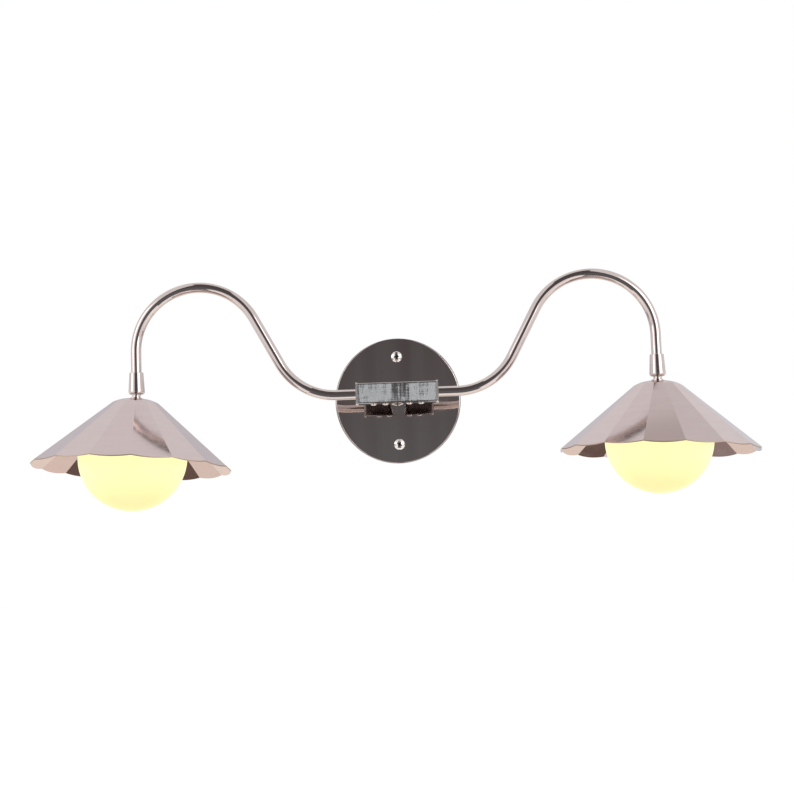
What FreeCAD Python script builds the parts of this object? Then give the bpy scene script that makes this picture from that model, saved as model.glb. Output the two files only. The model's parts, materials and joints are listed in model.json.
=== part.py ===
import FreeCAD, Part
import math
import os
import Sketcher

# Double arm wall sconce. Millimetres, +Z up, +X to the viewer's right, the wall is the plane Y = 0.
# The origin is the centre of the backplate on the wall, and the fixture stands out along -Y.

SIZES = {
    # backplate, a spun round canopy
    "plate_diameter": 127.0,
    "plate_depth": 18.0,
    "plate_wall": 1.2,
    "plate_edge_radius": 1.7,
    # crossbar, a stamped cross strap
    "strap_thickness": 2.0,
    "strap_width": 22.0,
    "strap_height": 104.0,
    "strap_span": 106.0,
    "strap_rise": 6.0,
    "strap_bend_start": 24.0,
    "strap_bend_run": 6.0,
    "strap_centre_hole": 13.0,
    "box_spacing_small": 69.85,
    "box_spacing_large": 88.9,
    "box_slot_width": 4.8,
    # canopy screws and earth screw
    "canopy_screw_spacing": 88.9,
    "canopy_screw_diameter": 4.1,
    "canopy_screw_head": 11.0,
    "canopy_screw_head_height": 3.0,
    "canopy_screw_past_strap": 1.0,
    "screw_hole_clearance": 0.7,
    "ground_screw_diameter": 4.0,
    "ground_screw_head": 8.0,
    "ground_screw_head_height": 2.2,
    "ground_screw_place": 17.0,
    # stem and its hollow nipples
    "stem_diameter": 22.0,
    "stem_bore": 16.0,
    "stem_thread_length": 16.0,
    "stem_edge": 0.6,
    "nipple_diameter": 10.0,
    "nipple_bore": 7.0,
    "nipple_inside_canopy": 9.0,
    "nipple_in_stem": 14.0,
    "nipple_in_bar": 5.0,
    "washer_diameter": 18.0,
    "washer_thickness": 1.2,
    "washer_notch_width": 1.4,
    "washer_notch_depth": 1.6,
    "washer_notch_count": 12,
    "nut_across_flats": 14.0,
    "nut_height": 5.0,
    # square body bar on the stem
    "bar_standoff": 102.0,
    "bar_side": 19.0,
    "bar_length": 72.0,
    "bar_edge": 0.5,
    "end_cap_side": 20.0,
    "end_cap_thickness": 2.0,
    "set_screw_inner": 11.0,
    "set_screw_outer": 22.0,
    "set_screw_diameter": 3.0,
    "set_screw_head": 5.6,
    "set_screw_head_height": 1.6,
    # arms, bent tube
    "arm_diameter": 9.5,
    "arm_wall": 1.2,
    "arm_inner_end": 6.5,
    "arm_reach": 241.0,
    "arm_straight_end": 56.0,
    "arm_rise_height": 104.9,
    "arm_angle": 61.7,
    # ball swivel at each arm's end, heights from the ball's centre
    "pivot_height": 11.0,
    "cup_top": 16.5,
    "cup_ledge": 10.0,
    "cup_bottom": 1.0,
    "cup_top_diameter": 12.8,
    "cup_diameter": 14.9,
    "cup_lip_radius": 0.8,
    "cup_bore": 11.4,
    "cap_thread_diameter": 13.3,
    "cap_thread_top": 2.8,
    "cap_round_top": 1.4,
    "cap_bottom": 3.8,
    "cap_bottom_diameter": 12.4,
    "cap_round_radius": 2.95,
    "cap_mouth_diameter": 10.7,
    "ball_diameter": 12.0,
    "ball_neck_diameter": 7.5,
    "ball_shoulder_angle": 42.0,
    "ball_shoulder_end": 5.6,
    "ball_bore": 4.4,
    "tail_diameter": 7.0,
    "tail_length": 17.5,
    "pad_bottom": 3.2,
    "spring_inner_diameter": 5.4,
    "spring_thickness": 0.6,
    "spring_cone": 0.5,
    # fits
    "running_gap": 0.05,
    "thread_gap": 0.05,
    "tube_gap": 0.05,
    # fluted shade, heights from the top of its flat crown
    "pivot_to_shade": 9.0,
    "shade_nut_diameter": 11.2,
    "shade_nut_height": 1.9,
    "shade_diameter": 179.0,
    "shade_height": 62.1,
    "shade_apex_rise": 15.0,
    "shade_shoulder_radius": 26.0,
    "shade_shoulder_gap": 0.25,
    "shade_skirt_margin": 12.0,
    "sheet_thickness": 0.7,
    "panel_count": 16,
    # globe and what carries it
    "carrier_hub_diameter": 15.0,
    "carrier_hub_height": 3.2,
    "carrier_diameter": 31.0,
    "carrier_flange": 2.1,
    "carrier_thread_diameter": 26.4,
    "carrier_thread_length": 8.0,
    "carrier_wall": 1.9,
    "gasket_thickness": 1.1,
    "globe_diameter": 98.0,
    "globe_wall": 2.8,
    "globe_centre_depth": 53.7,
    "globe_collar_wall": 2.8,
    "globe_collar_length": 9.0,
    "lock_nut_across_flats": 11.0,
    "lock_nut_height": 3.0,
    # lampholder and capsule lamp
    "holder_gap": 1.0,
    "holder_neck_diameter": 14.0,
    "holder_neck_length": 5.0,
    "holder_diameter": 19.0,
    "holder_length": 22.0,
    "holder_thread_depth": 9.0,
    "lead_hole_diameter": 1.6,
    "lead_hole_place": 3.3,
    "socket_depth": 9.5,
    "socket_width": 6.4,
    "pin_spacing": 9.0,
    "pin_width": 4.6,
    "pin_thickness": 0.9,
    "pin_length": 7.0,
    "contact_sheet": 0.4,
    "contact_height": 8.0,
    "capsule_gap": 0.6,
    "capsule_base_diameter": 14.4,
    "capsule_base_length": 11.0,
    "capsule_diameter": 15.0,
    "capsule_length": 46.0,
    # how the lamps hang in the photograph, in degrees
    "left_lean": 7.1,
    "left_lean_direction": 21.4,
    "right_lean": 4.3,
    "right_lean_direction": 33.6,
    "left_shade_turn": 12.5,
    "right_shade_turn": 2.0,
}

doc = FreeCAD.newDocument("double_arm_wall_sconce")
sheet = doc.addObject("Spreadsheet::Sheet", "size")
for row, (alias, amount) in enumerate(SIZES.items(), start=1):
    sheet.set(f"A{row}", alias)
    sheet.set(f"B{row}", str(amount))
    sheet.setAlias(f"B{row}", alias)
doc.recompute()

nodes = []


def number(expression):
    """Plain number that an expression in the sheet's sizes gives."""
    result = sheet.evalExpression(expression)
    return float(getattr(result, "Value", result))


# Sketches: every corner, radius and centre is a constraint bound to the sheet

def bind(sketch, kind, element, position, expression):
    """Adds one signed distance from the sketch's origin and binds it."""
    index = sketch.addConstraint(
        Sketcher.Constraint(kind, -1, 1, element, position, number(expression)))
    sketch.setExpression(f"Constraints[{index}]", expression)


def bind_point(sketch, element, position, across, up):
    bind(sketch, "DistanceX", element, position, across)
    bind(sketch, "DistanceY", element, position, up)


def bind_radius(sketch, element, expression):
    index = sketch.addConstraint(Sketcher.Constraint("Radius", element, number(expression)))
    sketch.setExpression(f"Constraints[{index}]", expression)


def new_sketch(body, name, plane, offset=None):
    """Empty sketch on one of the body's own origin planes, moved along its normal."""
    sketch = body.newObject("Sketcher::SketchObject", name)
    support = [item for item in body.Origin.OriginFeatures if item.Role == plane][0]
    sketch.AttachmentSupport = (support, [""])
    sketch.MapMode = "FlatFace"
    if offset:
        sketch.setExpression("AttachmentOffset.Base.z", offset)
    return sketch


def arc_between(start, end, radius, turn):
    """Arc of under half a circle; turn is 1 for counter-clockwise travel and -1 for clockwise."""
    chord = end - start
    half = chord.Length / 2.0
    rise = math.sqrt(max(radius * radius - half * half, 0.0))
    left = FreeCAD.Vector(-chord.y, chord.x, 0).normalize()
    centre = (start + end) / 2.0 + left * rise * turn
    first, last = (start, end) if turn > 0 else (end, start)
    angles = [math.atan2(point.y - centre.y, point.x - centre.x) for point in (first, last)]
    circle = Part.Circle(centre, FreeCAD.Vector(0, 0, 1), radius)
    return Part.ArcOfCircle(circle, angles[0], angles[1])


def draw(sketch, corners, closed=True):
    """Lines and arcs through corners given as (across, up) or (across, up, radius, turn)."""
    points = [FreeCAD.Vector(number(c[0]), number(c[1]), 0) for c in corners]
    count = len(corners)
    steps = range(count) if closed else range(1, count)
    starts, ends = {}, {}
    for step in steps:
        before = (step - 1) % count
        if len(corners[step]) == 4:
            radius, turn = corners[step][2], corners[step][3]
            arc = arc_between(points[before], points[step], number(radius), turn)
            element = sketch.addGeometry(arc, False)
            bind_radius(sketch, element, radius)
            starts[before], ends[step] = ((element, 1), (element, 2))[::turn]
        else:
            element = sketch.addGeometry(Part.LineSegment(points[before], points[step]), False)
            starts[before], ends[step] = (element, 1), (element, 2)
    for corner in range(count):
        anchors = [side[corner] for side in (starts, ends) if corner in side]
        bind_point(sketch, *anchors[0], corners[corner][0], corners[corner][1])
        if len(anchors) == 2:
            sketch.addConstraint(Sketcher.Constraint("Coincident", *anchors[0], *anchors[1]))
    return sketch


def draw_circle(sketch, across, up, radius):
    centre = FreeCAD.Vector(number(across), number(up), 0)
    circle = Part.Circle(centre, FreeCAD.Vector(0, 0, 1), number(radius))
    element = sketch.addGeometry(circle, False)
    bind_point(sketch, element, 3, across, up)
    bind_radius(sketch, element, radius)


def draw_slot(sketch, across, up, reach, radius):
    """Slot along the sketch's first axis; reach is from the middle to each end's centre."""
    middle_x, middle_y = number(across), number(up)
    half, end_radius = number(reach), number(radius)
    normal = FreeCAD.Vector(0, 0, 1)
    arcs = []
    for side, start_angle in ((-1, math.pi / 2), (1, -math.pi / 2)):
        centre = FreeCAD.Vector(middle_x + side * half, middle_y, 0)
        circle = Part.Circle(centre, normal, end_radius)
        arc = Part.ArcOfCircle(circle, start_angle, start_angle + math.pi)
        element = sketch.addGeometry(arc, False)
        bind_point(sketch, element, 3, f"{across} + {side} * ({reach})", up)
        bind_radius(sketch, element, radius)
        arcs.append(element)
    for start, end, height in ((arcs[0], arcs[1], -end_radius), (arcs[1], arcs[0], end_radius)):
        side = 1 if height < 0 else -1
        line = sketch.addGeometry(Part.LineSegment(
            FreeCAD.Vector(middle_x - side * half, middle_y + height, 0),
            FreeCAD.Vector(middle_x + side * half, middle_y + height, 0)), False)
        sketch.addConstraint(Sketcher.Constraint("Tangent", start, 2, line, 1))
        sketch.addConstraint(Sketcher.Constraint("Tangent", line, 2, end, 1))


# Features

def new_body(name):
    body = doc.addObject("PartDesign::Body", name)
    body.Label = name
    return body


def turned(name, corners):
    """Body of revolution about its own Z, from corners given as (radius, height)."""
    body = new_body(name)
    profile = draw(new_sketch(body, name + "_profile", "XZ_Plane"), corners)
    revolution = body.newObject("PartDesign::Revolution", name + "_turn")
    revolution.Profile = profile
    revolution.ReferenceAxis = (profile, ["V_Axis"])
    revolution.Angle = 360.0
    return body


def pad(body, sketch, length, symmetric=False, reverse=False):
    feature = body.newObject("PartDesign::Pad", sketch.Name + "_pad")
    feature.Profile = sketch
    feature.setExpression("Length", length)
    feature.SideType = "Symmetric" if symmetric else "One side"
    feature.Reversed = reverse
    return feature


def pocket(body, sketch, length, symmetric=False, reverse=False):
    """Cuts a sketch into the body and makes sure that it took material away."""
    doc.recompute()
    volume_before = body.Shape.Volume
    feature = body.newObject("PartDesign::Pocket", sketch.Name + "_pocket")
    feature.Profile = sketch
    feature.setExpression("Length", length)
    feature.SideType = "Symmetric" if symmetric else "One side"
    feature.Reversed = reverse
    doc.recompute()
    if body.Shape.Volume > volume_before - 0.01:
        raise RuntimeError(f"{sketch.Name} cuts nothing")
    return feature


def chamfer_along(body, direction, size):
    """Chamfers the straight edges of the body's tip that run along a direction."""
    doc.recompute()
    tip = body.Tip
    chosen = []
    for index, edge in enumerate(tip.Shape.Edges, start=1):
        if edge.Curve.TypeId != "Part::GeomLine":
            continue
        if abs(abs(edge.Curve.Direction.dot(direction)) - 1.0) < 1e-6:
            chosen.append(f"Edge{index}")
    feature = body.newObject("PartDesign::Chamfer", body.Name + "_chamfer")
    feature.Base = (tip, chosen)
    feature.setExpression("Size", size)
    return feature


def hexagon(sketch, across_flats):
    corners = []
    for step in range(6):
        angle = f"{step} * 60"
        radius = f"{across_flats} / 2 / cos(30)"
        corners.append((f"{radius} * cos({angle})", f"{radius} * sin({angle})"))
    return draw(sketch, corners)


def node(item, placement=None):
    """Names a finished piece as a node and places it."""
    if placement:
        item.setExpression("Placement", placement)
    nodes.append(item)
    return item


def group(name, members):
    """Several separate solids kept as one node."""
    compound = doc.addObject("Part::Compound", name)
    compound.Label = name
    compound.Links = members
    return node(compound)


# Frames, as placement expressions

BAR_OUT = "(size.plate_depth + size.bar_standoff)"


def out_of_wall(distance, across="0", up="0"):
    """Local Z points out of the wall, from a plane this far in front of it."""
    return (f"placement(vector({across}; -({distance}); {up});"
            " rotation(vector(1; 0; 0); 90))")


def at_pivot(side, height="0"):
    """Upright frame on one swivel's vertical axis, this far above the ball's centre."""
    return (f"placement(vector({side} * size.arm_reach; -{BAR_OUT}; size.pivot_height + {height});"
            " rotation(vector(0; 0; 1); 0))")


def on_lamp(side, height="0", turn="0"):
    """Frame that leans with one lamp, this far above the ball's centre along the lamp's axis."""
    name = "left" if side < 0 else "right"
    direction = f"size.{name}_lean_direction"
    lean = (f"placement(vector({side} * size.arm_reach; -{BAR_OUT}; size.pivot_height);"
            f" rotation(vector(-cos({direction}); sin({direction}); 0); size.{name}_lean))")
    return f"{lean} * placement(vector(0; 0; {height}); rotation(vector(0; 0; 1); {turn}))"


# Backplate, crossbar and their fasteners

def make_backplate():
    outer = "size.plate_diameter / 2"
    inner = "size.plate_diameter / 2 - size.plate_wall"
    edge = "size.plate_edge_radius"
    inner_edge = "(size.plate_edge_radius - size.plate_wall)"
    face = "size.plate_depth"
    back = "size.plate_depth - size.plate_wall"
    hole = "size.nipple_diameter / 2 + size.thread_gap"
    body = turned("backplate", [
        (hole, face),
        (hole, back),
        (f"{inner} - {inner_edge}", back),
        (inner, f"{back} - {inner_edge}", inner_edge, -1),
        (inner, "0"),
        (outer, "0"),
        (outer, f"{face} - {edge}"),
        (f"{outer} - {edge}", face, edge, 1),
    ])
    holes = new_sketch(body, "backplate_holes", "XY_Plane", face)
    for end in (-1, 1):
        draw_circle(holes, "0", f"{end} * size.canopy_screw_spacing / 2",
                    "(size.canopy_screw_diameter + size.screw_hole_clearance) / 2")
    pocket(body, holes, "size.plate_wall * 2")
    node(body, out_of_wall("0"))


def make_crossbar():
    body = new_body("crossbar")
    thick = "size.strap_thickness"
    end = "size.strap_height / 2"
    start = "size.strap_bend_start"
    bend = "(size.strap_bend_start + size.strap_bend_run)"
    rise = "size.strap_rise"
    upright = draw(new_sketch(body, "strap_side", "YZ_Plane"), [
        (f"-{end}", rise),
        (f"-{bend}", rise),
        (f"-{start}", "0"),
        (start, "0"),
        (bend, rise),
        (end, rise),
        (end, f"{rise} + {thick}"),
        (bend, f"{rise} + {thick}"),
        (start, thick),
        (f"-{start}", thick),
        (f"-{bend}", f"{rise} + {thick}"),
        (f"-{end}", f"{rise} + {thick}"),
    ])
    pad(body, upright, "size.strap_width", symmetric=True)
    level = new_sketch(body, "strap_level", "XY_Plane")
    draw_slot(level, "0", "0", "(size.strap_span - size.strap_width) / 2", "size.strap_width / 2")
    pad(body, level, thick)
    slots = new_sketch(body, "box_slots", "XY_Plane")
    middle = "(size.box_spacing_small + size.box_spacing_large) / 4"
    reach = "(size.box_spacing_large - size.box_spacing_small) / 4"
    for side in (-1, 1):
        draw_slot(slots, f"{side} * {middle}", "0", reach, "size.box_slot_width / 2")
    draw_circle(slots, "0", "0", "size.strap_centre_hole / 2")
    draw_circle(slots, "-size.ground_screw_place", "0", "size.ground_screw_diameter / 2 + size.thread_gap")
    pocket(body, slots, f"{thick} * 3", symmetric=True)
    taps = new_sketch(body, "canopy_taps", "XY_Plane", f"{rise} + {thick}")
    for side in (-1, 1):
        draw_circle(taps, "0", f"{side} * size.canopy_screw_spacing / 2",
                    "size.canopy_screw_diameter / 2 + size.thread_gap")
    pocket(body, taps, f"{thick} * 2")
    node(body, out_of_wall("0"))


def screw(name, head, head_height, shank, length):
    """Dome headed screw, head above its own plane and shank below it."""
    crown = f"({head_height}) * 0.35"
    dome_rise = f"(({head_height}) - {crown})"
    dome_radius = f"((({head}) / 2)^2 + {dome_rise}^2) / (2 * {dome_rise})"
    return turned(name, [
        ("0", f"-({length})"),
        (f"({shank}) / 2", f"-({length})"),
        (f"({shank}) / 2", "0"),
        (f"({head}) / 2", "0"),
        (f"({head}) / 2", crown),
        ("0", head_height, dome_radius, 1),
    ])


def make_wall_screws():
    length = ("size.plate_depth - size.strap_rise + size.canopy_screw_past_strap")
    members = []
    for name, side in (("upper", 1), ("lower", -1)):
        item = screw(f"canopy_screw_{name}", "size.canopy_screw_head", "size.canopy_screw_head_height",
                     "size.canopy_screw_diameter", length)
        item.setExpression("Placement", out_of_wall(
            "size.plate_depth", up=f"{side} * size.canopy_screw_spacing / 2"))
        members.append(item)
    group("canopy_screws", members)
    ground = screw("ground_screw", "size.ground_screw_head", "size.ground_screw_head_height",
                   "size.ground_screw_diameter", "size.strap_thickness")
    node(ground, out_of_wall("size.strap_thickness", across="-size.ground_screw_place"))


# Stem with its nipples

def make_stem():
    outer = "size.stem_diameter / 2"
    thread = "size.nipple_diameter / 2 + size.thread_gap"
    length = "(size.bar_standoff - size.bar_side / 2)"
    end = "size.stem_thread_length"
    edge = "size.stem_edge"
    body = turned("stem", [
        (thread, "0"),
        (f"{outer} - {edge}", "0"),
        (outer, edge),
        (outer, f"{length} - {edge}"),
        (f"{outer} - {edge}", length),
        (thread, length),
        (thread, f"{length} - {end}"),
        ("size.stem_bore / 2", f"{length} - {end}"),
        ("size.stem_bore / 2", end),
        (thread, end),
    ])
    node(body, out_of_wall("size.plate_depth"))


def hollow_nipple(name, length):
    inner, outer = "size.nipple_bore / 2", "size.nipple_diameter / 2"
    return turned(name, [(inner, "0"), (outer, "0"), (outer, length), (inner, length)])


def hex_nut(name, across_flats, bore, height):
    body = new_body(name)
    outline = hexagon(new_sketch(body, name + "_outline", "XY_Plane"), across_flats)
    draw_circle(outline, "0", "0", bore)
    pad(body, outline, height)
    return body


def make_stem_fasteners():
    inside = "size.nipple_inside_canopy"
    wall_nipple = hollow_nipple("wall_nipple", f"{inside} + size.plate_wall + size.nipple_in_stem")
    node(wall_nipple, out_of_wall(f"size.plate_depth - size.plate_wall - {inside}"))
    bar_nipple = hollow_nipple("bar_nipple", "size.nipple_in_stem + size.nipple_in_bar")
    node(bar_nipple, out_of_wall(f"{BAR_OUT} - size.bar_side / 2 - size.nipple_in_stem"))

    inner = "size.nipple_diameter / 2 + size.thread_gap"
    washer = turned("lock_washer", [
        (inner, "0"),
        ("size.washer_diameter / 2", "0"),
        ("size.washer_diameter / 2", "size.washer_thickness"),
        (inner, "size.washer_thickness"),
    ])
    notch = draw(new_sketch(washer, "washer_notch", "XY_Plane"), [
        ("size.washer_diameter / 2 - size.washer_notch_depth", "-size.washer_notch_width / 2"),
        ("size.washer_diameter / 2 + size.washer_notch_depth", "-size.washer_notch_width / 2"),
        ("size.washer_diameter / 2 + size.washer_notch_depth", "size.washer_notch_width / 2"),
        ("size.washer_diameter / 2 - size.washer_notch_depth", "size.washer_notch_width / 2"),
    ])
    cut = pocket(washer, notch, "size.washer_thickness * 3", symmetric=True)
    teeth = washer.newObject("PartDesign::PolarPattern", "washer_teeth")
    teeth.Originals = [cut]
    teeth.Axis = (washer_profile(washer), ["V_Axis"])
    teeth.Angle = 360.0
    teeth.setExpression("Occurrences", "size.washer_notch_count")
    washer.Tip = teeth
    washer_top = "size.plate_depth - size.plate_wall - size.washer_thickness"
    node(washer, out_of_wall(washer_top))
    nut = hex_nut("nipple_nut", "size.nut_across_flats", inner, "size.nut_height")
    node(nut, out_of_wall(f"{washer_top} - size.nut_height"))


def washer_profile(body):
    return [item for item in body.Group if item.Name == "lock_washer_profile"][0]


# Body bar, end caps and arms

ARM_HOLE = "(size.arm_diameter / 2 + size.tube_gap)"


def square(sketch, side):
    half = f"{side} / 2"
    return draw(sketch, [(f"-{half}", f"-{half}"), (half, f"-{half}"), (half, half), (f"-{half}", half)])


def make_bar():
    body = new_body("body_bar")
    section = square(new_sketch(body, "bar_section", "YZ_Plane"), "size.bar_side")
    pad(body, section, "size.bar_length", symmetric=True)
    chamfer_along(body, FreeCAD.Vector(1, 0, 0), "size.bar_edge")
    bore = new_sketch(body, "bar_bore", "YZ_Plane")
    draw_circle(bore, "0", "0", ARM_HOLE)
    pocket(body, bore, "size.bar_length + 2", symmetric=True)
    entry = new_sketch(body, "bar_stem_entry", "XZ_Plane")
    draw_circle(entry, "0", "0", "size.nipple_diameter / 2 + size.thread_gap")
    pocket(body, entry, "size.bar_side")
    taps = new_sketch(body, "bar_set_screw_taps", "XY_Plane")
    for place in ("-size.set_screw_outer", "-size.set_screw_inner",
                  "size.set_screw_inner", "size.set_screw_outer"):
        draw_circle(taps, place, "0", "size.set_screw_diameter / 2 + size.thread_gap")
    pocket(body, taps, "size.bar_side")
    node(body, f"placement(vector(0; -{BAR_OUT}; 0); rotation(vector(0; 0; 1); 0))")


def make_end_cap(side, name):
    body = new_body(name)
    section = square(new_sketch(body, name + "_section", "YZ_Plane"), "size.end_cap_side")
    draw_circle(section, "0", "0", ARM_HOLE)
    pad(body, section, "size.end_cap_thickness")
    chamfer_along(body, FreeCAD.Vector(1, 0, 0), "size.bar_edge")
    turn = 180 if side < 0 else 0
    node(body, (f"placement(vector({side} * size.bar_length / 2; -{BAR_OUT}; 0);"
                f" rotation(vector(0; 0; 1); {turn}))"))


def make_set_screws():
    members = []
    places = ("-size.set_screw_outer", "-size.set_screw_inner",
              "size.set_screw_inner", "size.set_screw_outer")
    for index, place in enumerate(places, start=1):
        item = screw(f"set_screw_{index}", "size.set_screw_head", "size.set_screw_head_height",
                     "size.set_screw_diameter", "(size.bar_side - size.arm_diameter) / 2")
        item.setExpression("Placement", (f"placement(vector({place}; -{BAR_OUT}; -size.bar_side / 2);"
                                         " rotation(vector(1; 0; 0); 180))"))
        members.append(item)
    group("arm_set_screws", members)


def make_arm(side, name):
    """Tube bent in a plane parallel to the wall: level, up a slope, over a crown and down.

    Both bends have one radius, which the reach, the rise and the slope's angle leave."""
    start, rise = "size.arm_straight_end", "size.arm_rise_height"
    angle, reach = "size.arm_angle", "size.arm_reach"
    bend = (f"((({reach} - {start}) * sin({angle}) - {rise} * cos({angle}))"
            f" / (2 * (1 - cos({angle})) + sin({angle})))")
    route = [
        (f"{side} * size.arm_inner_end", "0"),
        (f"{side} * {start}", "0"),
        (f"{side} * ({start} + {bend} * sin({angle}))", f"{bend} * (1 - cos({angle}))", bend, side),
        (f"{side} * ({reach} - {bend} * (1 + sin({angle})))", f"{rise} - {bend} * (1 - cos({angle}))"),
        (f"{side} * {reach}", f"{rise} - {bend}", bend, -side),
        (f"{side} * {reach}", "size.pivot_height + size.cup_ledge"),
    ]
    body = new_body(name)
    path = draw(new_sketch(body, name + "_path", "XZ_Plane"), route, closed=False)
    section = new_sketch(body, name + "_section", "YZ_Plane", f"{side} * size.arm_inner_end")
    draw_circle(section, "0", "0", "size.arm_diameter / 2")
    draw_circle(section, "0", "0", "size.arm_diameter / 2 - size.arm_wall")
    pipe = body.newObject("PartDesign::AdditivePipe", name + "_tube")
    pipe.Profile = section
    pipe.Spine = (path, [f"Edge{index}" for index in range(1, len(route))])
    node(body, f"placement(vector(0; -{BAR_OUT}; 0); rotation(vector(0; 0; 1); 0))")


# Ball swivel: the cap's seat and the sprung pad hold the ball inside the cup

def make_cup(side, name):
    top, bottom, ledge = "size.cup_top", "-size.cup_bottom", "size.cup_ledge"
    lip = "size.cup_lip_radius"
    body = turned(name, [
        (ARM_HOLE, top),
        (ARM_HOLE, ledge),
        ("size.cup_bore / 2", ledge),
        ("size.cup_bore / 2", "size.cap_thread_top + size.thread_gap"),
        ("size.cap_thread_diameter / 2 + size.thread_gap", "size.cap_thread_top + size.thread_gap"),
        ("size.cap_thread_diameter / 2 + size.thread_gap", bottom),
        ("size.cup_diameter / 2", bottom),
        ("size.cup_top_diameter / 2", f"{top} - {lip}"),
        (f"size.cup_top_diameter / 2 - {lip}", top, lip, 1),
    ])
    node(body, at_pivot(side))


def make_cap(side, name):
    seat = "(size.ball_diameter / 2 + size.running_gap)"
    mouth = "size.cap_mouth_diameter / 2"
    body = turned(name, [
        (seat, "size.cap_thread_top"),
        (seat, "0"),
        (mouth, f"-sqrt({seat}^2 - ({mouth})^2)", seat, -1),
        (mouth, "-size.cap_bottom"),
        ("size.cap_bottom_diameter / 2", "-size.cap_bottom"),
        ("size.cup_diameter / 2", "-size.cap_round_top", "size.cap_round_radius", 1),
        ("size.cup_diameter / 2", "-size.cup_bottom"),
        ("size.cap_thread_diameter / 2", "-size.cup_bottom"),
        ("size.cap_thread_diameter / 2", "size.cap_thread_top"),
    ])
    node(body, at_pivot(side))


SPRING_STEP = "(size.spring_thickness + size.spring_cone)"
SPRING_OUTER = "(size.cup_bore / 2 - 2 * size.running_gap)"


def make_springs(side, name):
    inner, thick, cone = "size.spring_inner_diameter / 2", "size.spring_thickness", "size.spring_cone"
    members = []
    for position, (inner_rise, outer_rise, height) in {
        "upper": ("0", cone, f"size.cup_ledge - {SPRING_STEP}"),
        "lower": (cone, "0", f"size.cup_ledge - 2 * {SPRING_STEP}"),
    }.items():
        disc = turned(f"{name}_{position}", [
            (inner, inner_rise),
            (SPRING_OUTER, outer_rise),
            (SPRING_OUTER, f"{outer_rise} + {thick}"),
            (inner, f"{inner_rise} + {thick}"),
        ])
        disc.setExpression("Placement", at_pivot(side, height))
        members.append(disc)
    group(name, members)


def make_pad(side, name):
    seat = "(size.ball_diameter / 2 + size.running_gap)"
    outer = "(size.cup_bore / 2 - 2 * size.running_gap)"
    bottom = "size.pad_bottom"
    hole = "size.ball_bore / 2"
    top = f"size.cup_ledge - 2 * {SPRING_STEP} - size.running_gap"
    body = turned(name, [
        (outer, bottom),
        (outer, top),
        (hole, top),
        (hole, f"sqrt({seat}^2 - ({hole})^2)"),
        (f"sqrt({seat}^2 - {bottom}^2)", bottom, seat, -1),
    ])
    node(body, at_pivot(side))


def make_ball(side, name):
    ball, bore, neck = "size.ball_diameter / 2", "size.ball_bore / 2", "size.ball_neck_diameter / 2"
    tail = "size.tail_diameter / 2"
    shoulder = "size.pivot_to_shade - size.shade_nut_height - size.running_gap"
    tail_end = "-(size.pivot_to_shade + size.tail_length)"
    body = turned(name, [
        (bore, f"sqrt(({ball})^2 - ({bore})^2)"),
        (f"{ball} * sin(size.ball_shoulder_angle)", f"-{ball} * cos(size.ball_shoulder_angle)", ball, -1),
        (neck, "-size.ball_shoulder_end"),
        (neck, f"-({shoulder})"),
        (tail, f"-({shoulder})"),
        (tail, tail_end),
        (bore, tail_end),
    ])
    node(body, on_lamp(side))


# Shade: a sixteen sided skirt of flat panels, domed at the crown and trimmed round at the rim

SLOPE = "((size.shade_height + size.shade_apex_rise) / (size.shade_diameter / 2))"
SHEET_DROP = f"(size.sheet_thickness * sqrt(1 + ({SLOPE} / cos(180 / size.panel_count))^2))"
SHADE_TOP = "-size.pivot_to_shade"
TAIL_HOLE = "(size.tail_diameter / 2 + size.thread_gap)"


def panelled_form(name):
    """Solid under one skin of the shade: panelled skirt cut by a domed cap."""
    bottom = "(size.shade_height + size.shade_skirt_margin)"
    sections = []
    for end, height in (("top", "size.shade_apex_rise * 0.8"), ("bottom", f"-{bottom}")):
        ring = doc.addObject("Part::RegularPolygon", f"{name}_{end}")
        ring.setExpression("Polygon", "size.panel_count")
        ring.setExpression("Circumradius", f"(size.shade_apex_rise - ({height})) / {SLOPE}")
        ring.setExpression("Placement.Base.z", height)
        sections.append(ring)
    skirt = doc.addObject("Part::Loft", name + "_skirt")
    skirt.Sections = sections
    skirt.Solid = True
    skirt.Ruled = True

    corner = f"(size.shade_apex_rise / {SLOPE} + size.shade_shoulder_gap)"
    tangent = f"(size.shade_shoulder_radius * tan(atan({SLOPE}) / 2))"
    dome_end = f"({corner} + {tangent} * cos(atan({SLOPE})))"
    dome_drop = f"({tangent} * sin(atan({SLOPE})))"
    cap = turned(name + "_cap", [
        ("0", "0"),
        ("0", f"-{bottom} - 1"),
        (f"{dome_end} + ({bottom} + 1 - {dome_drop}) / {SLOPE}", f"-{bottom} - 1"),
        (dome_end, f"-{dome_drop}"),
        (f"{corner} - {tangent}", "0", "size.shade_shoulder_radius", 1),
    ])
    form = doc.addObject("Part::MultiCommon", name)
    form.Shapes = [skirt, cap]
    return form


def make_shade(side, name):
    side_name = "left" if side < 0 else "right"
    outer = panelled_form(name + "_outer")
    inner = panelled_form(name + "_inner")
    inner.setExpression("Placement.Base.z", f"-{SHEET_DROP}")
    skin = doc.addObject("Part::Cut", name + "_skin")
    skin.Base = outer
    skin.Tool = inner
    rim = doc.addObject("Part::Cylinder", name + "_rim")
    rim.setExpression("Radius", "size.shade_diameter / 2")
    rim.setExpression("Height", "2 * size.shade_height")
    rim.setExpression("Placement.Base.z", "-1.5 * size.shade_height")
    trimmed = doc.addObject("Part::MultiCommon", name + "_trimmed")
    trimmed.Shapes = [skin, rim]
    hole = doc.addObject("Part::Cylinder", name + "_hole")
    hole.setExpression("Radius", TAIL_HOLE)
    hole.setExpression("Height", "size.shade_height")
    hole.setExpression("Placement.Base.z", "-size.shade_height / 2")
    shade = doc.addObject("Part::Cut", name)
    shade.Label = name
    shade.Base = trimmed
    shade.Tool = hole
    node(shade, on_lamp(side, SHADE_TOP, f"size.{side_name}_shade_turn"))


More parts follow.
